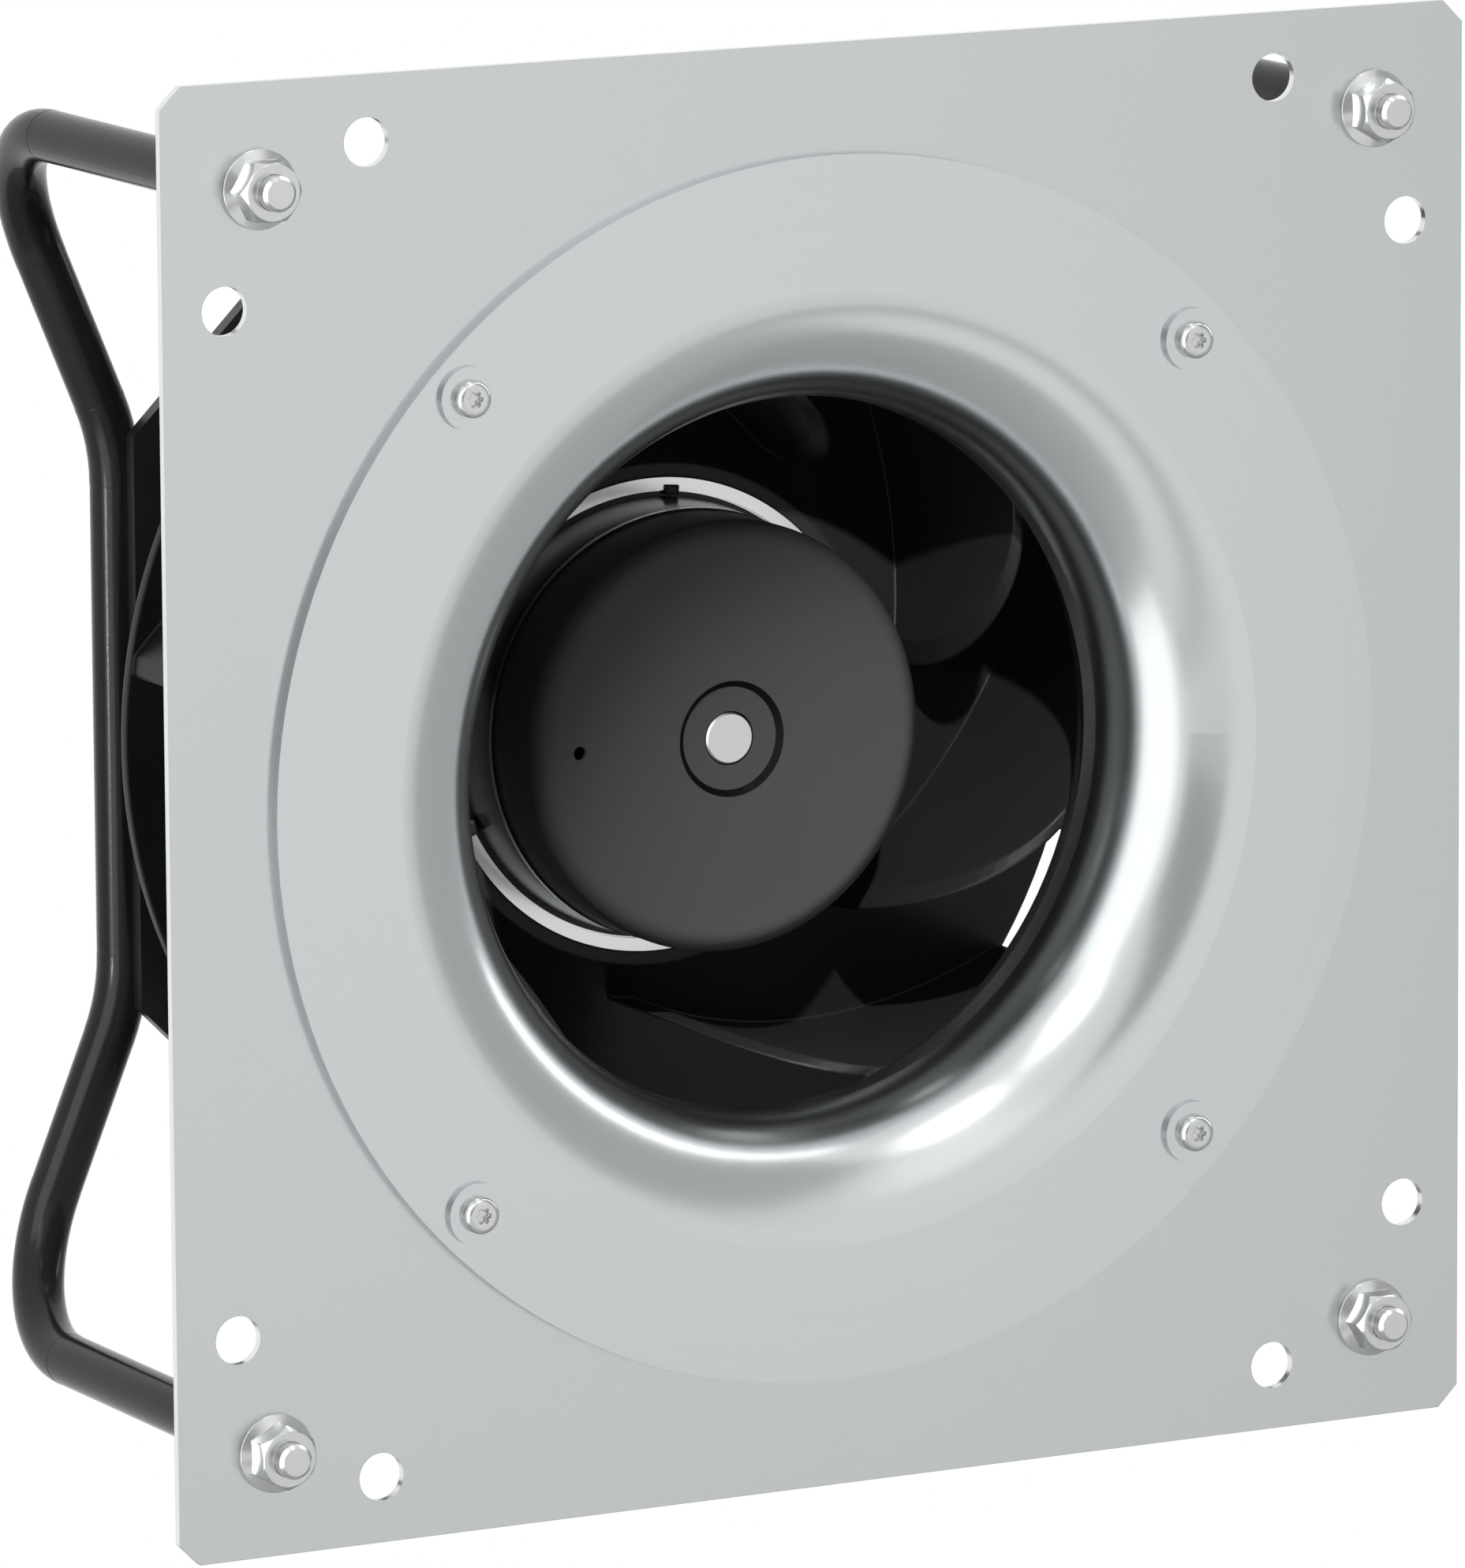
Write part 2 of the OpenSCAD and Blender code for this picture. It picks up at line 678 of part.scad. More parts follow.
// Finned lid that closes the carrier through the motor plate's opening
module electronics_cover() color(cast_grey) {
    rod(pot_in_r - hole_gap, cover_flange_y, motor_plate_front);
    rod(cover_r, motor_plate_front, motor_plate_back);
    fin_field = cover_r - 3;
    fin_last = floor((fin_field - fin_t) / fin_pitch);
    intersection() {
        rod(fin_field, motor_plate_back - over, motor_plate_back + fin_h);
        for (i = [-fin_last : fin_last])
            translate([i * fin_pitch - fin_t / 2, motor_plate_back - over, -cover_r])
                cube([fin_t, fin_h + over, cover_d]);
    }
}

module cover_gasket() color(moulded) revolved()
    band(pot_in_r - ledge_w + 1, pot_in_r - 1, gasket_y, cover_flange_y);

// Gland body with a hex, a domed nut and an open bore, pointing down
module cable_gland() color(moulded) translate([0, gland_y, -gland_seat]) {
    hex_h = 5;
    dome_h = 13;
    bore_r = gland_d * 0.28;
    difference() {
        union() {
            translate([0, 0, -hex_h]) cylinder(r = gland_d * 0.7, h = hex_h, $fn = 6);
            cylinder(r = gland_d / 2, h = gland_seat - pot_in_r + 1.5);
            translate([0, 0, -hex_h - dome_h * 0.6]) cylinder(r = gland_d * 0.56, h = dome_h * 0.6);
            translate([0, 0, -hex_h - dome_h]) cylinder(r1 = gland_d * 0.4, r2 = gland_d * 0.56, h = dome_h * 0.4);
        }
        translate([0, 0, -hex_h - dome_h - over]) cylinder(r = bore_r, h = hex_h + dome_h + gland_seat);
    }
}

// Back disc with the hub band and the lip behind the rotor flange
module disc_section() {
    intersection() {
        translate(disc_centre) difference() {
            circle(disc_curve_r + disc_t);
            circle(disc_curve_r);
        }
        band(hub_out_r - hub_band / 2, impeller_r, flange_y, flange_y + rim_drop * 2);
    }
    band(hub_in_r, hub_out_r, flange_y, hub_back);
    band(hub_lip_r, hub_out_r, flange_back, hub_back);
}

// Everything in front of the shroud's inner face, with a clearance
module shroud_shadow(gap) {
    far = impeller_r + over;
    start = bend_end - (gap - cone_tuck) * wall_dir;
    band(collar_r - gap, far, 0, bend_y);
    translate(bend_centre) circle(shroud_bend_r + gap);
    polygon([[start.x, 0], start, [far, start.y + (far - start.x) * tan(shroud_slope)], [far, 0]]);
}

// Outline of a blade in radius and depth, with an elliptic leading edge
module blade_section() {
    edge = [for (i = [0 : edge_steps]) edge_centre - [edge_a * sin(i * 90 / edge_steps), edge_b * cos(i * 90 / edge_steps)]];
    behind = flange_y + rim_drop * 2;
    difference() {
        intersection() {
            polygon(concat([[blade_tip_r, bend_y]], [[edge_centre.x, bend_y]], edge,
                [[edge_centre.x - edge_a, behind], [blade_tip_r, behind]]));
            translate(disc_centre) circle(disc_curve_r + disc_t / 2);
        }
        shroud_shadow(seat_gap);
    }
}

// Arc of one blade seen along the axis, its centre on the negative X side
module blade_arc() {
    intersection() {
        translate([-blade_arc_off, 0]) difference() {
            circle(blade_arc_r + blade_t / 2);
            circle(blade_arc_r - blade_t / 2);
        }
        translate([-blade_arc_off, -impeller_d]) square([impeller_d, impeller_d]);
    }
}

module blades() intersection() {
    revolved() blade_section();
    sheet(collar_front, rim_drop + flange_y - collar_front + disc_t)
        for (i = [0 : blade_count - 1]) rotate(180 - blade_phase - i * 360 / blade_count) blade_arc();
}

// Plastic lugs of the hub lip that stand through the rotor flange
module lugs(gap) around(lug_count, 0, lug_phase)
    translate([lug_r[0] - gap, flange_y - lug_proud, -lug_w / 2 - gap])
        cube([lug_r[1] - lug_r[0] + 2 * gap, lug_proud + flange_t + hub_lip_t / 2, lug_w + 2 * gap]);

module impeller_hub() color(moulded) {
    revolved() disc_section();
    blades();
    lugs(0);
}

// Collar, bend and cone; the cone laps into the bend so that they join
module shroud_section() {
    face = bend_end + cone_tuck * wall_dir - cone_lap * cone_dir;
    back = bend_end + shroud_t * wall_dir - cone_lap * cone_dir;
    rise = tan(shroud_slope);
    band(collar_r, collar_r + shroud_t, collar_front, bend_y);
    intersection() {
        translate(bend_centre) difference() {
            circle(shroud_bend_r);
            circle(shroud_bend_r - shroud_t);
        }
        polygon([bend_centre, [collar_r - over, bend_y], [collar_r - over, bend_y + 2 * shroud_bend_r],
            bend_centre + 2 * (bend_end - bend_centre)]);
    }
    polygon([face, back, [impeller_r, back.y + (impeller_r - back.x) * rise],
        [impeller_r, face.y + (impeller_r - face.x) * rise]]);
}

module impeller_shroud() color(moulded) revolved() shroud_section();

module cap_section() {
    corner = [rotor_r - cap_corner_r, rotor_face + cap_corner_r];
    recess_r = recess_d / 2;
    lean = cap_wall * tan(atan(recess_h / recess_slope_w) / 2);
    intersection() {
        translate(corner) difference() {
            circle(cap_corner_r);
            circle(cap_corner_r - cap_wall);
        }
        band(corner.x, rotor_r, rotor_face, corner.y);
    }
    band(rotor_r - cap_wall, rotor_r, corner.y, cap_end);
    polygon([[shaft_r + hole_gap, cap_floor], [recess_r - recess_slope_w, cap_floor], [recess_r, rotor_face],
        [corner.x, rotor_face], [corner.x, rotor_face + cap_wall], [recess_r + lean, rotor_face + cap_wall],
        [recess_r - recess_slope_w + lean, cap_floor + cap_wall], [shaft_r + hole_gap, cap_floor + cap_wall]]);
}

module rotor_cap() color(rotor_grey) difference() {
    revolved() cap_section();
    translate([-cap_hole_r, 0, 0]) rod(cap_hole_d / 2, rotor_face - over, rotor_face + cap_wall + over);
}

module bell_section() {
    difference() {
        union() {
            band(shaft_r + seat_gap, bell_fit_r, bell_front, bell_front + bell_wall);
            band(shaft_r + seat_gap, boss_r, bell_front, boss_back);
            band(shaft_r + seat_gap, ball_pitch_r - race_half, boss_back, boss_back + seat_collar_h);
            band(bell_in_r, bell_fit_r, bell_front, cap_end);
            band(bell_in_r, bell_ring_r, cap_end, cap_end + bell_ring_w);
            polygon([[bell_in_r, cap_end + bell_ring_w], [rotor_r, cap_end + bell_ring_w],
                [bell_side_r, flange_y - bell_fillet], [bell_side_r, flange_back], [bell_in_r, flange_back]]);
            band(bell_in_r, flange_r, flange_y, flange_back);
        }
        band(bell_side_r, bell_side_r + groove_w, flange_y - over, flange_y + groove_h);
    }
}

module rotor_bell() color(bright) difference() {
    revolved() bell_section();
    lugs(2 * seat_gap);
}

module rotor_magnets() color(coated) {
    share = 360 / magnet_count;
    gap_angle = 2;
    magnet_over = 2;
    for (i = [0 : magnet_count - 1]) rotate([0, i * share, 0]) revolved(share - gap_angle)
        band(magnet_in_r, bell_in_r - seat_gap, core_y - magnet_over, core_y + core_len + magnet_over);
}

module rotor_shaft() color(bright) {
    edge = 0.4;
    groove_y = bearing_2_end;
    revolved() difference() {
        polygon([[0, shaft_front], [shaft_r - edge, shaft_front], [shaft_r, shaft_front + edge],
            [shaft_r, shaft_back - edge], [shaft_r - edge, shaft_back], [0, shaft_back]]);
        band(shaft_r - clip_groove, shaft_r + over, groove_y, groove_y + clip_t);
    }
}

module shaft_circlip() color(bright) rotate([0, 60, 0]) revolved(300)
    band(shaft_r - clip_groove + seat_gap, shaft_r + 2.2, bearing_2_end, bearing_2_end + clip_t);

front_plate();
inlet_ring();
inlet_ring_screws();
clinch_nuts();
flange_nuts();
bracket_wire_left();
bracket_wire_right();
motor_plate();
weld_beads();
motor_plate_screws();
stator_carrier();
stator_core();
stator_windings();
bearing_outer_rings();
bearing_balls();
preload_washer();
circuit_board();
board_components();
board_screws();
electronics_cover();
cover_gasket();
cable_gland();
impeller_hub();
impeller_shroud();
rotor_cap();
rotor_bell();
rotor_magnets();
rotor_shaft();
bearing_inner_rings();
shaft_circlip();
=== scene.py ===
import math
import bpy
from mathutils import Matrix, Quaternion, Vector

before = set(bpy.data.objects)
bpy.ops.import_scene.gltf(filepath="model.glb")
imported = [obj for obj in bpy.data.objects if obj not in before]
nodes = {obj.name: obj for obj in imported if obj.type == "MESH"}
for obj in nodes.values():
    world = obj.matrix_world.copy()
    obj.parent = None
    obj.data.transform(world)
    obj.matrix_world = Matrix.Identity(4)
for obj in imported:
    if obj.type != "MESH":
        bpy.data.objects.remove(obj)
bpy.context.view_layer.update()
scene = bpy.context.scene
scene.view_settings.view_transform = "Standard"
print("frame in:", len(nodes), "nodes")

# camera, at the photograph's view; lengths in metres where nothing else is said
cameraLook = {
    "eye": (-1.32877, -2.46692, 0.49424),
    "aim": (0.46000, 0.87056, -0.17471),
    "roll": -0.369,        # degrees
    "lens": 289.81,        # millimetres
    "film": 36.0,          # millimetres, along the long side
    "reach": 50.0,
}


def setCamera(look):
    data = bpy.data.cameras.new("photoView")
    data.lens = look["lens"]
    data.sensor_width = look["film"]
    data.clip_end = look["reach"]
    camera = bpy.data.objects.new("photoView", data)
    scene.collection.objects.link(camera)
    camera.location = look["eye"]
    turn = Vector(look["aim"]).to_track_quat("-Z", "Y")
    camera.rotation_mode = "QUATERNION"
    camera.rotation_quaternion = turn @ Quaternion((0, 0, 1), math.radians(look["roll"]))
    scene.camera = camera


setCamera(cameraLook)
print("camera set")


# a socket that can be added, multiplied and so on
class Flow:
    def __init__(self, tree, socket=None):
        self.tree = tree
        self.socket = socket

    def plug(self, target, value):
        if isinstance(value, Flow):
            self.tree.links.new(value.socket, target)
        else:
            target.default_value = value

    def node(self, kind, settings=None, values=None, out=0):
        made = self.tree.nodes.new(kind)
        for key, value in (settings or {}).items():
            setattr(made, key, value)
        for key, value in (values or {}).items():
            self.plug(made.inputs[key], value)
        return Flow(self.tree, made.outputs[out] if made.outputs else None)

    def maths(self, operation, first, second=0.0):
        return self.node("ShaderNodeMath", {"operation": operation}, {0: first, 1: second})

    def __add__(self, other):
        return self.maths("ADD", self, other)

    def __radd__(self, other):
        return self.maths("ADD", other, self)

    def __sub__(self, other):
        return self.maths("SUBTRACT", self, other)

    def __rsub__(self, other):
        return self.maths("SUBTRACT", other, self)

    def __mul__(self, other):
        return self.maths("MULTIPLY", self, other)

    def __rmul__(self, other):
        return self.maths("MULTIPLY", other, self)

    def __truediv__(self, other):
        return self.maths("DIVIDE", self, other)

    def __rtruediv__(self, other):
        return self.maths("DIVIDE", other, self)

    def __pow__(self, other):
        return self.maths("POWER", self, other)

    def __rpow__(self, other):
        return self.maths("POWER", other, self)

    def __lt__(self, other):
        return self.maths("LESS_THAN", self, other)

    def __gt__(self, other):
        return self.maths("GREATER_THAN", self, other)

    def __abs__(self):
        return self.maths("ABSOLUTE", self)


def placeOn(flow):
    return flow.node("ShaderNodeTexCoord", out="Object")


def partOf(flow, vector, axis):
    return flow.node("ShaderNodeSeparateXYZ", None, {0: vector}, axis)


# distance from the fan's axis
def radiusOn(flow):
    place = placeOn(flow)
    x, z = partOf(flow, place, "X"), partOf(flow, place, "Z")
    return (x * x + z * z) ** 0.5


# distance along the fan's axis, behind the plate's face
def depthOn(flow):
    return partOf(flow, placeOn(flow), "Y")


# 1 on faces square to the fan's axis, 0 on walls along it
def facing(flow):
    return abs(partOf(flow, flow.node("ShaderNodeTexCoord", out="Normal"), "Y"))


def speckle(flow, scale, detail=2.0, rough=0.5, at=None):
    return flow.node("ShaderNodeTexNoise", None, {"Vector": at or placeOn(flow), "Scale": scale,
                                                  "Detail": detail, "Roughness": rough}, "Fac")


# lines at an even pitch: 1 on each line, 0 half way to the next
def lines(flow, along, pitch):
    return abs(flow.maths("FRACT", along / pitch) - 0.5) * 2.0


# a mask spread evenly round zero
def vary(mask, span):
    return (mask - 0.5) * span


def blend(masks, shares):
    total = masks[0] * shares[0]
    for mask, share in zip(masks[1:], shares[1:]):
        total = total + mask * share
    return total


# the mix node takes its two colours at sockets 6 and 7 and gives theirs at socket 2
def between(flow, mask, low, high):
    return flow.node("ShaderNodeMix", {"data_type": "RGBA"}, {0: mask, 6: low, 7: high}, 2)


def opaque(colour):
    return (colour[0], colour[1], colour[2], 1.0)


# from a look's dark colour to its light one
def tone(flow, mask, look):
    return between(flow, mask, opaque(look["dark"]), opaque(look["light"]))


def dents(flow, height, strength, depth, under=None):
    values = {"Height": height, "Strength": strength, "Distance": depth}
    if under is not None:
        values["Normal"] = under
    return flow.node("ShaderNodeBump", None, values, "Normal")


# rounded light on sharp edges and in the corners of a piece
def softEdges(flow, radius, samples=6):
    return flow.node("ShaderNodeBevel", {"samples": samples}, {"Radius": radius}, "Normal")


def makeFinish(name, recipe, look):
    finish = bpy.data.materials.new(name)
    finish.use_nodes = True
    tree = finish.node_tree
    shader = tree.nodes["Principled BSDF"]
    flow = Flow(tree)
    for socket, value in recipe(flow, look).items():
        flow.plug(shader.inputs[socket], value)
    finish.diffuse_color = opaque(look["light"])
    return finish


def dress(finish, *names):
    for name in names:
        slots = nodes[name].data.materials
        slots.clear()
        slots.append(finish)


# in the looks below, a noise is its scale, detail and roughness, a bump its strength and depth,
# and rounding the radius of soft edges; lengths are in metres

# galvanised sheet: faint spangle, cut edges brighter than the faces
sheetLook = {
    "light": (0.622, 0.650, 0.656),
    "dark": (0.592, 0.620, 0.626),
    "edge": (0.80, 0.81, 0.81),
    "edgeFacing": 0.5,         # what faces less than this is a cut edge
    "cloud": (9.0, 4.0, 0.6),
    "spangle": 170.0,
    "grain": (1900.0, 2.0),
    "mix": (0.5, 0.3, 0.2),    # shares of cloud, spangle and grain in the colour
    "rough": 0.27,
    "roughCloud": 0.05,
    "roughSpangle": 0.02,
    "bump": (0.008, 0.0002),
    "rounding": 0.0002,
}


def sheetRecipe(flow, look):
    cloud = speckle(flow, *look["cloud"])
    spangle = flow.node("ShaderNodeTexVoronoi", {"feature": "F1"},
                        {"Vector": placeOn(flow), "Scale": look["spangle"]}, "Color")
    flake = flow.node("ShaderNodeSeparateColor", None, {0: spangle}, 0)
    grain = speckle(flow, *look["grain"])
    face = tone(flow, blend((cloud, flake, grain), look["mix"]), look)
    return {
        "Base Color": between(flow, facing(flow) < look["edgeFacing"], face, opaque(look["edge"])),
        "Metallic": 1.0,
        "Roughness": look["rough"] + vary(cloud, look["roughCloud"]) + vary(flake, look["roughSpangle"]),
        "Normal": dents(flow, grain, *look["bump"], softEdges(flow, look["rounding"])),
    }


dress(makeFinish("galvanisedSheet", sheetRecipe, sheetLook), "front_plate")
print("front plate dressed")

# drawn nozzle: the same sheet, with faint rings from the drawing tool
nozzleLook = {
    "light": (0.622, 0.650, 0.656),
    "dark": (0.592, 0.620, 0.626),
    "cloud": (9.0, 4.0, 0.6),
    "rings": (420.0, 3.0, 0.6),
    "grain": (1900.0, 2.0),
    "mix": (0.6, 0.2, 0.2),    # shares of cloud, rings and grain in the colour
    "rough": 0.22,
    "roughSpan": 0.05,
    "bumpMix": (0.6, 0.4),     # shares of rings and grain in the bump
    "bump": (0.012, 0.0002),
}


def nozzleRecipe(flow, look):
    section = flow.node("ShaderNodeCombineXYZ", None, {0: radiusOn(flow), 1: depthOn(flow), 2: 0.0})
    rings = speckle(flow, *look["rings"], section)
    cloud = speckle(flow, *look["cloud"])
    grain = speckle(flow, *look["grain"])
    return {
        "Base Color": tone(flow, blend((cloud, rings, grain), look["mix"]), look),
        "Metallic": 1.0,
        "Roughness": look["rough"] + vary(cloud, look["roughSpan"]) + vary(rings, look["roughSpan"]),
        "Normal": dents(flow, blend((rings, grain), look["bumpMix"]), *look["bump"]),
    }


dress(makeFinish("drawnNozzle", nozzleRecipe, nozzleLook), "inlet_ring")
print("inlet ring dressed")

# bright zinc on the screws and nuts
zincLook = {
    "light": (0.66, 0.67, 0.67),
    "dark": (0.56, 0.57, 0.57),
    "wear": (420.0, 4.0, 0.65),
    "rough": 0.20,
    "roughSpan": 0.1,
    "bump": (0.03, 0.0002),
    "rounding": 0.00025,
}


def zincRecipe(flow, look):
    wear = speckle(flow, *look["wear"])
    return {
        "Base Color": tone(flow, wear, look),
        "Metallic": 1.0,
        "Roughness": look["rough"] + vary(wear, look["roughSpan"]),
        "Normal": dents(flow, wear, *look["bump"], softEdges(flow, look["rounding"])),
    }


dress(makeFinish("brightZinc", zincRecipe, zincLook), "inlet_ring_screws", "clinch_nuts", "flange_nuts",
      "motor_plate_screws", "board_screws")
print("fasteners dressed")

# black powder coat on the motor plate, with a light orange peel
coatLook = {
    "light": (0.022, 0.022, 0.023),
    "dark": (0.010, 0.010, 0.011),
    "cloud": (18.0, 3.0),
    "peel": (620.0, 2.0),
    "rough": 0.36,
    "roughSpan": 0.12,
    "gloss": 0.5,
    "bump": (0.12, 0.0004),
}


def coatBody(flow, look):
    cloud = speckle(flow, *look["cloud"])
    return {
        "Base Color": tone(flow, cloud, look),
        "Roughness": look["rough"] + vary(cloud, look["roughSpan"]),
        "Specular IOR Level": look["gloss"],
    }


def coatRecipe(flow, look):
    return coatBody(flow, look) | {"Normal": dents(flow, speckle(flow, *look["peel"]), *look["bump"])}


dress(makeFinish("blackCoat", coatRecipe, coatLook), "motor_plate", "weld_beads")

# glossier coat on the wires, whose stud ends stay bare in front of the plate
wireLook = coatLook | {
    "light": (0.018, 0.018, 0.019),
    "dark": (0.011, 0.011, 0.012),
    "bare": (0.62, 0.63, 0.63),
    "bareTo": 0.0022,          # metres behind the plate's face
    "bareRough": 0.20,
    "wear": zincLook["wear"],
    "wearSpan": zincLook["roughSpan"],
    "rough": 0.18,
    "gloss": 0.20,
    "bump": (0.04, 0.0004),
    "rounding": 0.0003,
}


def wireRecipe(flow, look):
    coat = coatBody(flow, look)
    bare = depthOn(flow) < look["bareTo"]
    coated = 1.0 - bare
    bareRough = look["bareRough"] + vary(speckle(flow, *look["wear"]), look["wearSpan"])
    peel = speckle(flow, *look["peel"]) * coated
    return coat | {
        "Base Color": between(flow, bare, coat["Base Color"], opaque(look["bare"])),
        "Metallic": bare,
        "Roughness": coat["Roughness"] * coated + bareRough * bare,
        "Normal": dents(flow, peel, *look["bump"], softEdges(flow, look["rounding"])),
    }


dress(makeFinish("coatedWire", wireRecipe, wireLook), "bracket_wire_left", "bracket_wire_right")
print("brackets dressed")

# black moulded impeller with a fine matte grain
mouldLook = {
    "light": (0.0210, 0.0210, 0.0215),
    "dark": (0.0150, 0.0150, 0.0155),
    "cloud": (26.0, 4.0, 0.6),
    "grain": (2400.0, 2.0),
    "rough": 0.36,
    "roughSpan": 0.16,
    "gloss": 0.2,
    "bump": (0.08, 0.0002),
    "rounding": 0.0011,
}


def mouldRecipe(flow, look):
    grain = speckle(flow, *look["grain"])
    cloud = speckle(flow, *look["cloud"])
    return {
        "Base Color": tone(flow, cloud, look),
        "Roughness": look["rough"] + vary(cloud, look["roughSpan"]),
        "Specular IOR Level": look["gloss"],
        "Normal": dents(flow, grain, *look["bump"], softEdges(flow, look["rounding"])),
    }


dress(makeFinish("mouldedImpeller", mouldRecipe, mouldLook), "impeller_hub", "impeller_shroud")
print("impeller dressed")

# dark grey coat of the rotor cap, with painted shade on the sloping wall of its centre recess
capLook = coatLook | {
    "light": (0.076, 0.077, 0.077),
    "dark": (0.064, 0.065, 0.065),
    # painted shade: a near-black colour on the sloping recess wall, which is really the same coat
    "wall": (0.002, 0.002, 0.002),
    "recess": (0.01195, 0.01345),   # radii that the painted shade on the sloping wall lies between
    "peel": (900.0, 2.0),
    "rough": 0.40,
    "gloss": 0.08,
}


def capRecipe(flow, look):
    coat = coatRecipe(flow, look)
    radius = radiusOn(flow)
    inner, outer = look["recess"]
    # paint shade onto the sloping recess wall between the two radii
    wall = (radius > inner) * (radius < outer)
    return coat | {"Base Color": between(flow, wall, coat["Base Color"], opaque(look["wall"]))}


dress(makeFinish("rotorCoat", capRecipe, capLook), "rotor_cap")

# bright galvanised rotor bell, with painted shade in the groove at the cap and painted shade darkening
# its side wall
bellLook = nozzleLook | {
    "light": (0.70, 0.71, 0.71),
    "dark": (0.66, 0.67, 0.67),
    # painted shade: the side wall coloured darker than the same metal on the flange
    "wall": (0.42, 0.43, 0.43),
    "wallFacing": 0.6,         # what faces less than this is the side wall
    # painted shade: a near-black colour in the groove by the cap
    "groove": (0.02, 0.02, 0.02),
    "grooveTo": 0.0521,        # radius of the groove's outer edge
    "rings": (700.0, 3.0, 0.6),
    "rough": 0.20,
}


def bellRecipe(flow, look):
    metal = nozzleRecipe(flow, look)
    # paint shade into the groove, inside this radius
    groove = radiusOn(flow) < look["grooveTo"]
    face = between(flow, groove, metal["Base Color"], opaque(look["groove"]))
    # paint shade onto the side wall, where the surface runs along the axis
    wall = facing(flow) < look["wallFacing"]
    return metal | {"Base Color": between(flow, wall, face, opaque(look["wall"]))}


dress(makeFinish("rotorZinc", bellRecipe, bellLook), "rotor_bell")

# turned steel of the shaft, its bearings and their rings
shaftLook = nozzleLook | {
    "light": (0.66, 0.67, 0.67),
    "dark": (0.60, 0.61, 0.61),
    "rings": (1600.0, 3.0, 0.6),
    "grain": (2400.0, 2.0),
    "rough": 0.26,
}
dress(makeFinish("turnedShaft", nozzleRecipe, shaftLook), "rotor_shaft", "bearing_inner_rings",
      "bearing_outer_rings", "bearing_balls", "preload_washer", "shaft_circlip")
print("rotor dressed")

# cast carrier and finned cover
castLook = {
    "light": (0.50, 0.51, 0.52),
    "dark": (0.38, 0.39, 0.40),
    "cloud": (30.0, 4.0, 0.6),
    "sand": (1300.0, 3.0, 0.6),
    "metal": 0.9,
    "rough": 0.52,
    "roughSpan": 0.2,
    "bump": (0.25, 0.0003),
}


def castRecipe(flow, look):
    sand = speckle(flow, *look["sand"])
    cloud = speckle(flow, *look["cloud"])
    return {
        "Base Color": tone(flow, cloud, look),
        "Metallic": look["metal"],
        "Roughness": look["rough"] + vary(sand, look["roughSpan"]),
        "Normal": dents(flow, sand, *look["bump"]),
    }


dress(makeFinish("castMetal", castRecipe, castLook), "stator_carrier", "electronics_cover")

# stacked core sheets, seen as fine dark lines along the axis
coreLook = {
    "light": (0.34, 0.35, 0.37),
    "dark": (0.16, 0.165, 0.17),
    "pitch": 0.0005,
    "grain": (300.0, 2.0),
    "metal": 0.9,
    "rough": 0.45,
    "roughSpan": 0.2,
}


def coreRecipe(flow, look):
    grain = speckle(flow, *look["grain"])
    return {
        "Base Color": tone(flow, 1.0 - lines(flow, depthOn(flow), look["pitch"]), look),
        "Metallic": look["metal"],
        "Roughness": look["rough"] + vary(grain, look["roughSpan"]),
    }


dress(makeFinish("coreSheets", coreRecipe, coreLook), "stator_core")

# enamelled wire: fine turns across the coil
copperLook = {
    "light": (0.62, 0.27, 0.10),
    "dark": (0.30, 0.11, 0.04),
    "pitch": 0.0009,
    "grain": (500.0, 2.0),
    "metal": 0.85,
    "rough": 0.30,
    "roughSpan": 0.2,
    "bump": (0.4, 0.0004),
}


def copperRecipe(flow, look):
    crown = 1.0 - lines(flow, radiusOn(flow), look["pitch"])
    grain = speckle(flow, *look["grain"])
    return {
        "Base Color": tone(flow, crown, look),
        "Metallic": look["metal"],
        "Roughness": look["rough"] + vary(grain, look["roughSpan"]),
        "Normal": dents(flow, crown, *look["bump"]),
    }


dress(makeFinish("windingCopper", copperRecipe, copperLook), "stator_windings")

# green mask on the circuit board
boardLook = coatLook | {
    "light": (0.020, 0.110, 0.055),
    "dark": (0.010, 0.060, 0.030),
    "peel": (240.0, 2.0),
    "rough": 0.35,
}
dress(makeFinish("boardMask", coatRecipe, boardLook), "circuit_board")

# dark cases of the parts on the board
caseLook = mouldLook | {
    "light": (0.030, 0.030, 0.032),
    "dark": (0.015, 0.015, 0.016),
    "grain": (1500.0, 2.0),
    "rough": 0.5,
    "rounding": 0.0003,
}
dress(makeFinish("partCases", mouldRecipe, caseLook), "board_components")

# rubber seal under the cover
rubberLook = mouldLook | {
    "light": (0.018, 0.018, 0.018),
    "dark": (0.010, 0.010, 0.010),
    "grain": (1800.0, 2.0),
    "rough": 0.75,
    "rounding": 0.0002,
}
dress(makeFinish("sealRubber", mouldRecipe, rubberLook), "cover_gasket")

# plastic cable gland
glandLook = mouldLook | {
    "light": (0.028, 0.028, 0.029),
    "dark": (0.016, 0.016, 0.017),
    "grain": (1500.0, 2.0),
    "rough": 0.5,
    "rounding": 0.0004,
}
dress(makeFinish("glandPlastic", mouldRecipe, glandLook), "cable_gland")

# dark ferrite magnets
magnetLook = castLook | {
    "light": (0.055, 0.055, 0.060),
    "dark": (0.030, 0.030, 0.033),
    "sand": (900.0, 3.0, 0.6),
    "rough": 0.6,
}
dress(makeFinish("magnetFerrite", castRecipe, magnetLook), "rotor_magnets")
print("inner pieces dressed")

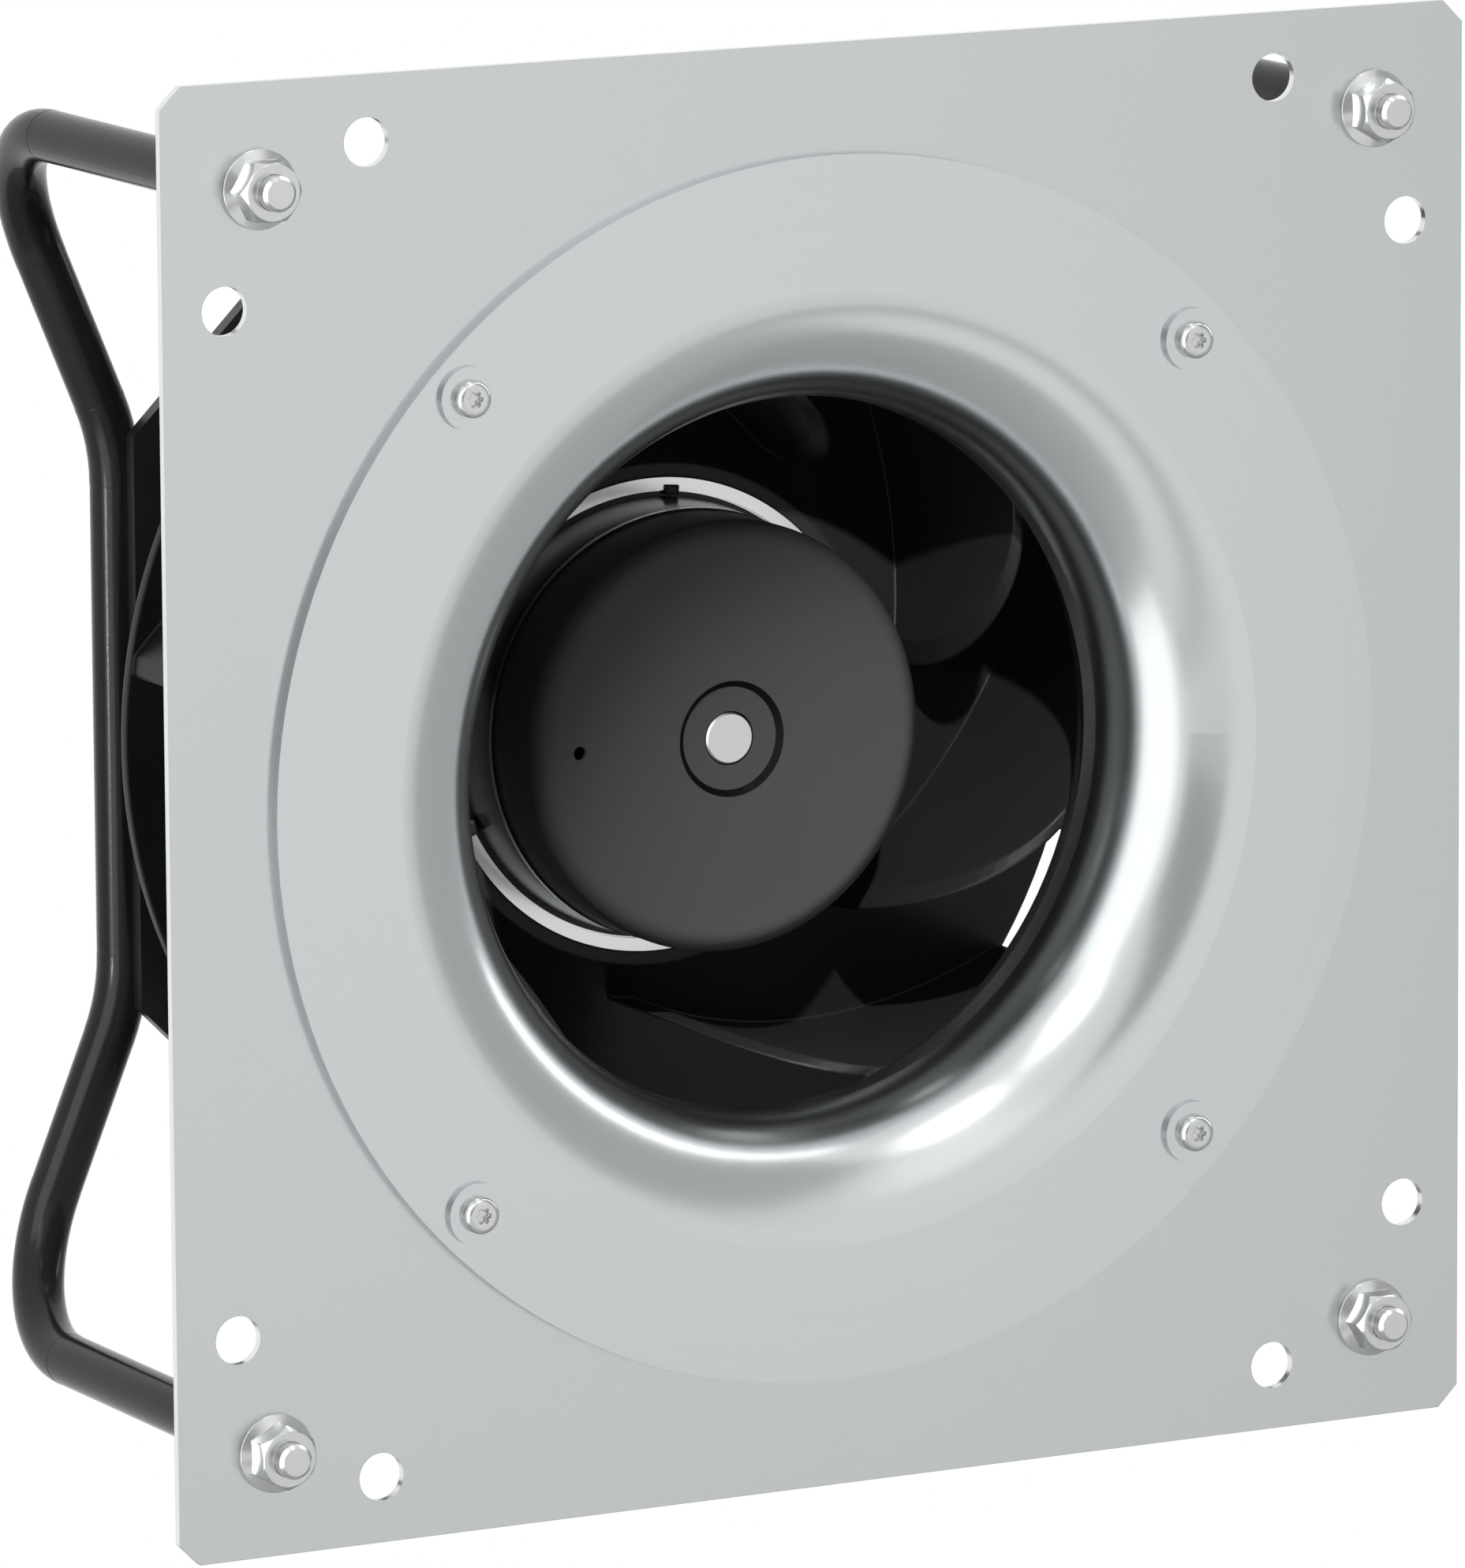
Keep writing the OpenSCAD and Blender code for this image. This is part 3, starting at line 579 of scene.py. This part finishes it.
# pale floor, well below the plate as the part hangs on its wall bolts
floorLook = {
    "light": (0.58, 0.58, 0.58),
    "dark": (0.54, 0.54, 0.54),
    "cloud": (3.0, 2.0),
    "rough": 0.8,
    "centre": (0.0, 0.07, -0.60),
    "radius": 0.78,
    "sides": 96,
}


def floorRecipe(flow, look):
    return {"Base Color": tone(flow, speckle(flow, *look["cloud"]), look), "Roughness": look["rough"]}


def makeFloor(look):
    mesh = bpy.data.meshes.new("floor")
    turns = [2 * math.pi * i / look["sides"] for i in range(look["sides"])]
    rim = [(look["radius"] * math.cos(turn), look["radius"] * math.sin(turn), 0.0) for turn in turns]
    mesh.from_pydata(rim, [], [list(range(look["sides"]))])
    mesh.materials.append(makeFinish("paleFloor", floorRecipe, look))
    floor = bpy.data.objects.new("floor", mesh)
    floor.location = look["centre"]
    scene.collection.objects.link(floor)
    return floor


floor = makeFloor(floorLook)

# world: white where it is seen or mirrored, softer as a light
worldLook = {"colour": (1.0, 1.0, 1.0), "seen": 1.0, "fill": 0.27}


def makeWorld(look):
    world = bpy.data.worlds.new("studio")
    world.use_nodes = True
    tree = world.node_tree
    tree.nodes.clear()
    flow = Flow(tree)
    rays = [flow.node("ShaderNodeLightPath", out=name) for name in
            ("Is Camera Ray", "Is Glossy Ray", "Is Transmission Ray")]
    direct = flow.maths("MAXIMUM", flow.maths("MAXIMUM", rays[0], rays[1]), rays[2])
    colour = opaque(look["colour"])
    fill, seen = [flow.node("ShaderNodeBackground", None, {"Color": colour, "Strength": look[level]})
                  for level in ("fill", "seen")]
    shown = flow.node("ShaderNodeMixShader", None, {0: direct, 1: fill, 2: seen})
    flow.node("ShaderNodeOutputWorld", None, {"Surface": shown})
    scene.world = world


makeWorld(worldLook)

# grey studio cards round the front, so that the metal has something darker to mirror
cardLook = {
    "light": (1.0, 1.0, 1.0),
    "radius": 3.3,
    "facet": 5.0,              # degrees, of one flat strip
    # degrees from straight ahead towards the left, heights, and grey level
    "cards": {
        "cardRight": {"turn": (-118, -36), "height": (-3.4, 5.0), "level": 0.54},
        "cardFront": {"turn": (-4, 37), "height": (-0.45, 1.05), "level": 0.44},
        "cardLow": {"turn": (-36, 40), "height": (-1.6, -1.10), "level": 0.60},
    },
}


def cardRecipe(flow, look):
    return {"Base Color": (0.0, 0.0, 0.0, 1.0), "Specular IOR Level": 0.0,
            "Emission Color": opaque(look["light"]), "Emission Strength": look["level"]}


def makeCard(name, card, look):
    first, last = card["turn"]
    steps = max(2, round((last - first) / look["facet"]))
    places = []
    for i in range(steps + 1):
        turn = math.radians(first + (last - first) * i / steps)
        for height in card["height"]:
            places.append((-look["radius"] * math.sin(turn), -look["radius"] * math.cos(turn), height))
    faces = [(2 * i, 2 * i + 1, 2 * i + 3, 2 * i + 2) for i in range(steps)]
    mesh = bpy.data.meshes.new(name)
    mesh.from_pydata(places, [], faces)
    mesh.materials.append(makeFinish(name + "Grey", cardRecipe, look | card))
    board = bpy.data.objects.new(name, mesh)
    board.visible_camera = False
    board.visible_diffuse = False
    scene.collection.objects.link(board)


for cardName, card in cardLook["cards"].items():
    makeCard(cardName, card, cardLook)

# lamps: a small near key for the impeller, soft ones for the other dull nodes,
# and large ones that are only mirrored, mild on the ring and left off the flat plate
impeller = [nodes["impeller_hub"], nodes["impeller_shroud"]]
cap = [nodes["rotor_cap"]]
others = [node for node in nodes.values() if node not in impeller + cap] + [floor]
ring = [nodes["inlet_ring"]]
wires = [nodes["bracket_wire_left"], nodes["bracket_wire_right"]]
small = [node for node in nodes.values() if node not in ring + [nodes["front_plate"]]]
lampLook = {
    "aim": (0.0, 0.05, 0.0),
    "far": 2.9,                # where a lamp has no distance of its own
    # degrees from straight ahead towards the left, and upwards; size in metres, power in watts
    "lamps": {
        "key": {"turn": 12.9, "rise": 33.5, "far": 0.56, "size": (0.012, 0.012), "power": 4.5,
                "shows": "both", "on": impeller},
        "soft": {"turn": 50.0, "rise": 41.0, "size": (1.0, 1.0), "power": 150.0,
                 "shows": "matt", "on": cap},
        "main": {"turn": 20.0, "rise": 29.5, "size": (0.5, 0.5), "power": 75.0,
                 "shows": "matt", "on": others},
        "left": {"turn": 62.0, "rise": 14.0, "size": (2.0, 2.0), "power": 20.0,
                 "shows": "matt", "on": others},
        "side": {"turn": 66.0, "rise": 8.0, "size": (2.2, 4.4), "power": 80.0,
                 "shows": "mirror", "on": small},
        "ringSide": {"turn": 70.5, "rise": 4.0, "size": (2.6, 5.2), "power": 29.0,
                     "shows": "mirror", "on": ring},
        "glint": {"turn": 74.0, "rise": -7.0, "size": (0.04, 0.10), "power": 9.0,
                  "shows": "mirror", "on": wires},
        "upper": {"turn": 42.0, "rise": 46.0, "size": (1.0, 1.0), "power": 6.0, "shows": "mirror"},
        "high": {"turn": -6.0, "rise": 62.0, "size": (0.6, 0.6), "power": 9.0, "shows": "mirror"},
        "right": {"turn": -88.5, "rise": 31.0, "size": (0.7, 4.0), "power": 31.0, "shows": "mirror"},
        "window": {"turn": -14.0, "rise": 35.0, "size": (1.0, 1.3), "power": 1.1, "shows": "mirror"},
    },
}


def makeLamp(name, lamp, look):
    data = bpy.data.lights.new(name, "AREA")
    data.shape = "RECTANGLE"
    data.size, data.size_y = lamp["size"]
    data.energy = lamp["power"]
    holder = bpy.data.objects.new(name, data)
    turn, rise = math.radians(lamp["turn"]), math.radians(lamp["rise"])
    away = Vector((-math.sin(turn) * math.cos(rise), -math.cos(turn) * math.cos(rise), math.sin(rise)))
    holder.location = away * lamp.get("far", look["far"]) + Vector(look["aim"])
    holder.rotation_euler = (-away).to_track_quat("-Z", "Y").to_euler()
    holder.visible_diffuse = lamp["shows"] != "mirror"
    holder.visible_glossy = lamp["shows"] != "matt"
    scene.collection.objects.link(holder)
    if "on" in lamp:
        lit = bpy.data.collections.new(name + "Lit")
        for taker in lamp["on"]:
            lit.objects.link(taker)
        holder.light_linking.receiver_collection = lit


for lampName, lamp in lampLook["lamps"].items():
    makeLamp(lampName, lamp, lampLook)
print("light and floor set")
